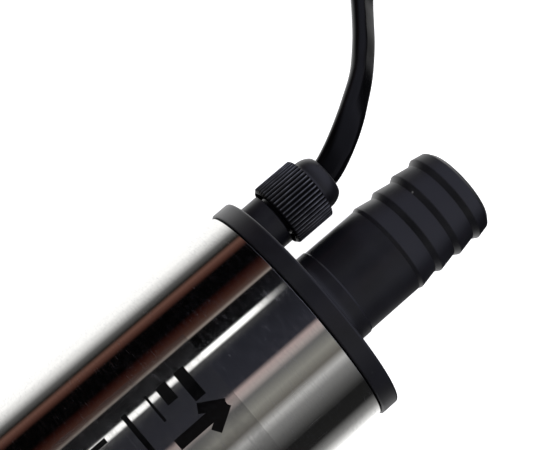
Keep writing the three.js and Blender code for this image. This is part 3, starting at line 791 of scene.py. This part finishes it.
def make_cord():
    line = thinned(cable_line(), 0.7)
    cable = sweep("flat_cable", line, stadium(cable_width, cable_thickness), roll)
    solids = ("cable", "cable_coil", "cable_tail")
    finish_piece(cable, LOOKS["black_cable"], "pump", solids)
    leads = []
    wires = (("red", RED_ROUTE, "red_plastic"), ("black", BLACK_ROUTE, "black_sleeve"))
    round_section = circle(lead_radius, 16)
    for tag, route, slot in wires:
        path_points = smooth_line([(x, y, floor_z + z) for x, y, z in route], 0.8)
        lead = sweep(f"lead_{tag}_wire", path_points, round_section)
        finish_piece(lead, LOOKS[slot], "pump", (f"lead_{tag}",))
        leads.append((tag, lead, path_points))
    return cable, line, leads


cable, cable_path, leads = make_cord()


# ---------------------------------------------------------------- pieces
def prisms(name, outline, places):
    """One mesh of closed prisms: each place turns (u, v, end) with end 0 or 1 into a point."""
    points = []
    faces = []
    count = len(outline)
    for place in places:
        start = len(points)
        for end in (0, 1):
            points += [place(u, v, end) for u, v in outline]
        for k in range(count):
            n = (k + 1) % count
            faces.append((start + k, start + n, start + count + n, start + count + k))
        faces.append(tuple(start + k for k in reversed(range(count))))
        faces.append(tuple(start + count + k for k in range(count)))
    return build(name, points, faces)


def about_x(angle, point):
    return Matrix.Rotation(math.radians(angle), 3, "X") @ Vector(point)


def screw_holes(radius, inner):
    """Cutters for the two base screws, from inner millimetres off the axis outwards."""
    return prisms("holes", circle(radius), [
        lambda u, v, end, a=angle: about_x(a, (screw_x + u, v, inner + 10 * end))
        for angle in screw_angles])


def make_tube():
    tube = lathe("tube_shell", eased([
        (tube_start, tube_bore), (tube_start, tube_radius), (-gap, tube_radius, 0.03),
        (-gap, tube_bore, 0.03),
    ], 0.2), 288)
    combine(tube, [screw_holes(1.8, 20)], "DIFFERENCE")
    finish_piece(tube, LOOKS["polished_steel"], "pump", ("outer_tube",))


def barb_outline():
    outline = []
    for i in range(barb_count):
        crest = first_crest + i * barb_pitch
        if i:
            outline.append((crest - barb_rise, valley_radius, 0.12))
        outline.append((crest, crest_radius, 0.4))
    return outline


def outlet_outline():
    """Fillet at the flange, plain neck, four ridges and a rounded tip."""
    base_reach, base_run, base_step = 2.95, 3.4, 0.25
    foot = []
    for k in range(9):
        t = math.radians(90) * k / 8
        foot.append((flange_thickness + base_run * (1 - math.cos(t)),
                     neck_radius + base_step + base_reach * (1 - math.sin(t)), 0))
    return eased([
        (3, 0), (3, neck_radius + base_step + base_reach), *foot,
        (9.3, neck_radius + base_step, 0.1), (9.65, neck_radius, 0.1),
        (first_crest - 0.75, neck_radius, 0.1), *barb_outline(),
        (outlet_tip - 1.0, 9.95, 0.6), (outlet_tip, 8.7, 0.7), (outlet_tip, 0),
    ], 0.15, 5)


def make_cap():
    """Flange, spigot with its groove, hose barb and gland stem, moulded in one."""
    body = lathe("cap_moulding", eased([
        (-2.5, 0), (-2.5, 20.4), (-11, 20.4), (-11, spigot_radius), (-6.6, spigot_radius),
        (-6.6, groove_floor), (-3.8, groove_floor), (-3.8, spigot_radius), (0, spigot_radius),
        (0, flange_radius, 0.35), (flange_thickness, flange_radius, 0.55), (flange_thickness, 0),
    ], 0.1, 5), 240)
    outlet = lathe("outlet", outlet_outline(), 160, outlet_y)
    stem = lathe("stem", eased([
        (3, 0), (3, stem_radius + stem_fillet), (flange_thickness, stem_radius + stem_fillet, 0.1),
        (flange_thickness + stem_fillet, stem_radius, 0.7), (stem_end, stem_radius, 0.3), (stem_end, 0),
    ], 0.15, 5), 96, gland_y)
    combine(body, [outlet, stem], "UNION")
    bore = lathe("bore", eased([
        (-4, 0), (-4, outlet_bore), (outlet_tip - 0.6, outlet_bore, 0.2),
        (outlet_tip + 0.6, outlet_bore + 1.1), (outlet_tip + 0.6, 0),
    ], 0.1), 128, outlet_y)
    seat = lathe("seat", [(1, 0), (1, stem_bore), (11, stem_bore), (11, 0)], 64, gland_y)
    lead_hole = lathe("lead_hole", [(-4, 0), (-4, 2.6), (2, 2.6), (2, 0)], 48, 16.6)
    combine(body, [bore, seat, lead_hole], "DIFFERENCE", 28)
    finish_piece(body, LOOKS["black_plastic"], "pump", ("top_cap",))


def make_gland():
    """Threaded body, and the knurled nut with its domed end."""
    thread_root = thread_radius - thread_depth
    threads = []
    for k in range(3):
        crest = 10.4 + thread_pitch * k
        threads += [(crest, thread_radius, 0.05), (crest + 0.3, thread_radius, 0.05),
                    (crest + 0.6, thread_root, 0.05), (crest + 0.9, thread_root, 0.05)]
    body = lathe("gland_thread", eased([
        (insert_start, insert_bore), (insert_start, insert_radius), (stem_end + gap, insert_radius),
        (stem_end + gap, thread_root), *threads, (thread_end, thread_radius),
        (thread_end, bush_seat), (11, bush_seat), (11, insert_bore),
    ], 0.08), 64, gland_y)
    finish_piece(body, LOOKS["black_plastic"], "pump", ("gland_body",))

    valley = nut_radius - ridge_depth

    def knurl(x, r, angle):
        if r < valley - 0.01 or x > knurl_end + 0.01:
            return r
        wave = abs(math.sin(ridge_count * angle / 2))
        return min(r, valley + ridge_depth * (1 - wave ** 1.5))

    nut = lathe("knurled_nut", [
        (nut_start, nut_bore), (nut_start, valley - 0.2), (nut_start + 0.25, valley),
        (nut_start + 0.6, nut_radius),
        (14.5, nut_radius), (knurl_end - 0.3, nut_radius), (knurl_end - 0.05, valley + 0.1),
        (knurl_end, valley - 0.3), (knurl_end, 5.95),
        (knurl_end + 0.12, 5.8), (knurl_end + 0.7, 5.78), (20.9, 5.72), (21.6, 5.56), (22.2, 5.33),
        (22.7, 5.05), (23.1, 4.74), (23.3, 4.5), (dome_end, 4.3), (dome_end, 4.12), (23.25, 3.95),
        (21.9, nut_mouth), (19.3, nut_mouth), (19.3, nut_neck), (15.6, nut_neck), (15.6, nut_bore),
    ], ridge_count * 10, gland_y, knurl, 50)
    finish_piece(nut, KNURL, "gland_nut", ("gland_nut",))


def on_tube(x, degrees, radius):
    angle = math.radians(degrees)
    return (x, radius * math.cos(angle), radius * math.sin(angle))


def patch(columns, rows, place):
    """A curved sheet of quads: place turns two numbers from 0 to 1 into a point."""
    points = [place(i / columns, j / rows) for i in range(columns + 1) for j in range(rows + 1)]
    wide = rows + 1
    faces = [(i * wide + j, i * wide + j + 1, (i + 1) * wide + j + 1, (i + 1) * wide + j)
             for i in range(columns) for j in range(rows)]
    return points, faces


def thick(made, thickness):
    step = made.modifiers.new("thick", "SOLIDIFY")
    step.thickness = thickness * MM
    step.offset = 0
    baked(made)
    smooth(made.data, 40)
    return made


def make_label():
    """The clear film with its printed band of generic marks: a flow arrow between bars."""
    x0, x1 = local(label_low).x, local(label_high).x
    start, end = 65.0, 155.0
    film_radius = tube_radius + 0.1

    def spot(u, v):
        x = x0 + (x1 - x0) * u
        degrees = start + (end - start) * v
        lift = 0.3 * math.exp(-((x - x1) / 0.9) ** 2 - ((degrees - 77) / 4.5) ** 2)
        return on_tube(x, degrees, film_radius + lift)

    points, faces = patch(90, 110, spot)
    film_piece = thick(build("label_film", points, faces, 60), 0.08)
    finish_piece(film_piece, LOOKS["clear_film"], "pump", ("label",))

    marks = []
    for x_from, angle_from, x_to, angle_to, width in PRINT_STROKES:
        marks.append(stroke(x_from, angle_from, x_to, angle_to, width))
    points = []
    faces = []
    for some_points, some_faces in marks:
        faces += [tuple(k + len(points) for k in face) for face in some_faces]
        points += some_points
    ink = thick(build("label_print", points, faces, 60), 0.03)
    finish_piece(ink, INK, "pump", ())


# Strokes of the print: from x and degrees to x and degrees, with a width in millimetres.
PRINT_STROKES = [
    (-25.4, 75.5, -25.4, 90, 2.3), (-29.6, 75.5, -29.6, 84, 2.3),
    (-34.0, 98.5, -22.6, 98.5, 2.2), (-22.8, 98.5, -27.2, 92.5, 2.0),
    (-22.8, 98.5, -27.2, 104.5, 2.0), (-32.9, 75, -32.9, 88, 0.5), (-38.0, 75, -38.0, 142, 1.0),
    (-43.0, 78, -76.0, 78, 1.0), (-43.0, 90, -68.0, 90, 1.0), (-43.0, 102, -74.0, 102, 1.0),
    (-43.0, 114, -64.0, 114, 1.0), (-43.0, 126, -72.0, 126, 1.0),
]


def stroke(x_from, angle_from, x_to, angle_to, width):
    arc = math.radians(1) * tube_radius
    run = Vector((x_to - x_from, (angle_to - angle_from) * arc))
    side = Vector((-run.y, run.x)).normalized() * width / 2

    def spot(u, v):
        flat = Vector((x_from, angle_from * arc)) + run * u + side * (2 * v - 1)
        return on_tube(flat.x, flat.y / arc, tube_radius + 0.16)

    return patch(max(4, round(run.length)), 3, spot)


def make_inlet():
    """Pump base with its collar, and the slotted strainer over it."""
    base = lathe("base_moulding", eased([
        (-109, inlet_bore), (-109, collar_radius), (-118, collar_radius), (-118, 22.4),
        (base_flange_x, 22.4),
        (base_flange_x, flange_radius, 0.4), (-108, flange_radius, 0.4), (-108, spigot_radius),
        (-107, spigot_radius), (-107, groove_floor), (-104.2, groove_floor), (-104.2, spigot_radius),
        (-99, spigot_radius), (-99, collar_radius), (-107.2, collar_radius), (-107.2, inlet_bore),
    ], 0.3), 200)
    combine(base, [screw_holes(1.55, 18)], "DIFFERENCE")
    finish_piece(base, LOOKS["black_plastic"], "pump", ("pump_base",))

    cup = lathe("strainer_cup", eased([
        (strainer_end, 0), (strainer_end, strainer_radius, 2.2), (base_flange_x - gap, strainer_radius),
        (base_flange_x - gap, strainer_radius - strainer_wall),
        (strainer_end + strainer_floor, strainer_radius - strainer_wall, 1.0),
        (strainer_end + strainer_floor, 0),
    ], 0.3, 6), 200)
    side_slots = prisms("side_slots", stadium(8.6, 2.6), [
        lambda u, v, end, a=360 / side_slot_count * (i + 0.5): about_x(
            a, (u + side_slots_x, v, 21 + 6 * end))
        for i in range(side_slot_count)])
    end_slots = prisms("end_slots", stadium(11.5, 2.2), [
        lambda u, v, end, a=360 / end_slot_count * i: about_x(
            a, (strainer_end - 1 + 4 * end, v, 13.75 + u))
        for i in range(end_slot_count)])
    combine(cup, [side_slots, end_slots], "DIFFERENCE")
    finish_piece(cup, LOOKS["black_plastic"], "strainer", ("strainer",))


def refined(node, bevel, slot, segments=3, crease=30):
    """A copy of a CAD piece with its flat faces joined up and its edges rounded."""
    source = frame["nodes"][node]
    copy = source.data.copy()
    copy.transform(Matrix.Translation(-joint))
    shell = bmesh.new()
    shell.from_mesh(copy)
    bmesh.ops.remove_doubles(shell, verts=shell.verts, dist=2e-6)
    bmesh.ops.dissolve_limit(shell, angle_limit=math.radians(2), verts=shell.verts, edges=shell.edges)
    shell.to_mesh(copy)
    shell.free()
    made = bpy.data.objects.new(f"{node}_shape", copy)
    bpy.context.scene.collection.objects.link(made)
    made.location = joint
    step = made.modifiers.new("round", "BEVEL")
    step.width = bevel * MM
    step.segments = segments
    step.limit_method = "ANGLE"
    step.angle_limit = math.radians(crease)
    baked(made)
    smooth(made.data, crease)
    finish_piece(made, LOOKS[slot], source["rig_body"], (node,))
    return made


def make_fittings():
    """Splitter, tie, screws and battery clips, and a finish for every piece that stays as it is."""
    pieces = {}
    rounding = {
        "cable_splitter": 0.9, "cable_tie": 0.22, "base_screw_1": 0.2, "base_screw_2": 0.2,
        "motor_cover": 0.2, "seal_housing": 0.2, "impeller": 0.15, "impeller_nut": 0.2,
    }
    for tag in ("red", "black"):
        rounding.update({
            f"clip_{tag}_fixed_jaw": 0.12, f"clip_{tag}_moving_jaw": 0.12,
            f"clip_{tag}_fixed_boot": 0.5, f"clip_{tag}_moving_boot": 0.5,
            f"clip_{tag}_pin": 0.15,
        })
    slots = {item["node"]: item["material_slot"] for item in frame["record"]["subparts"]}
    for name, node in frame["nodes"].items():
        slot = slots[name]
        if name in rounding:
            pieces[name] = refined(name, rounding[name], slot)
        elif not node.hide_render:
            node.data.materials.clear()
            node.data.materials.append(LOOKS[slot])
            smooth(node.data, 30)
            pieces[name] = node
    return pieces


make_tube()
make_cap()
make_gland()
make_label()
make_inlet()
fittings = make_fittings()
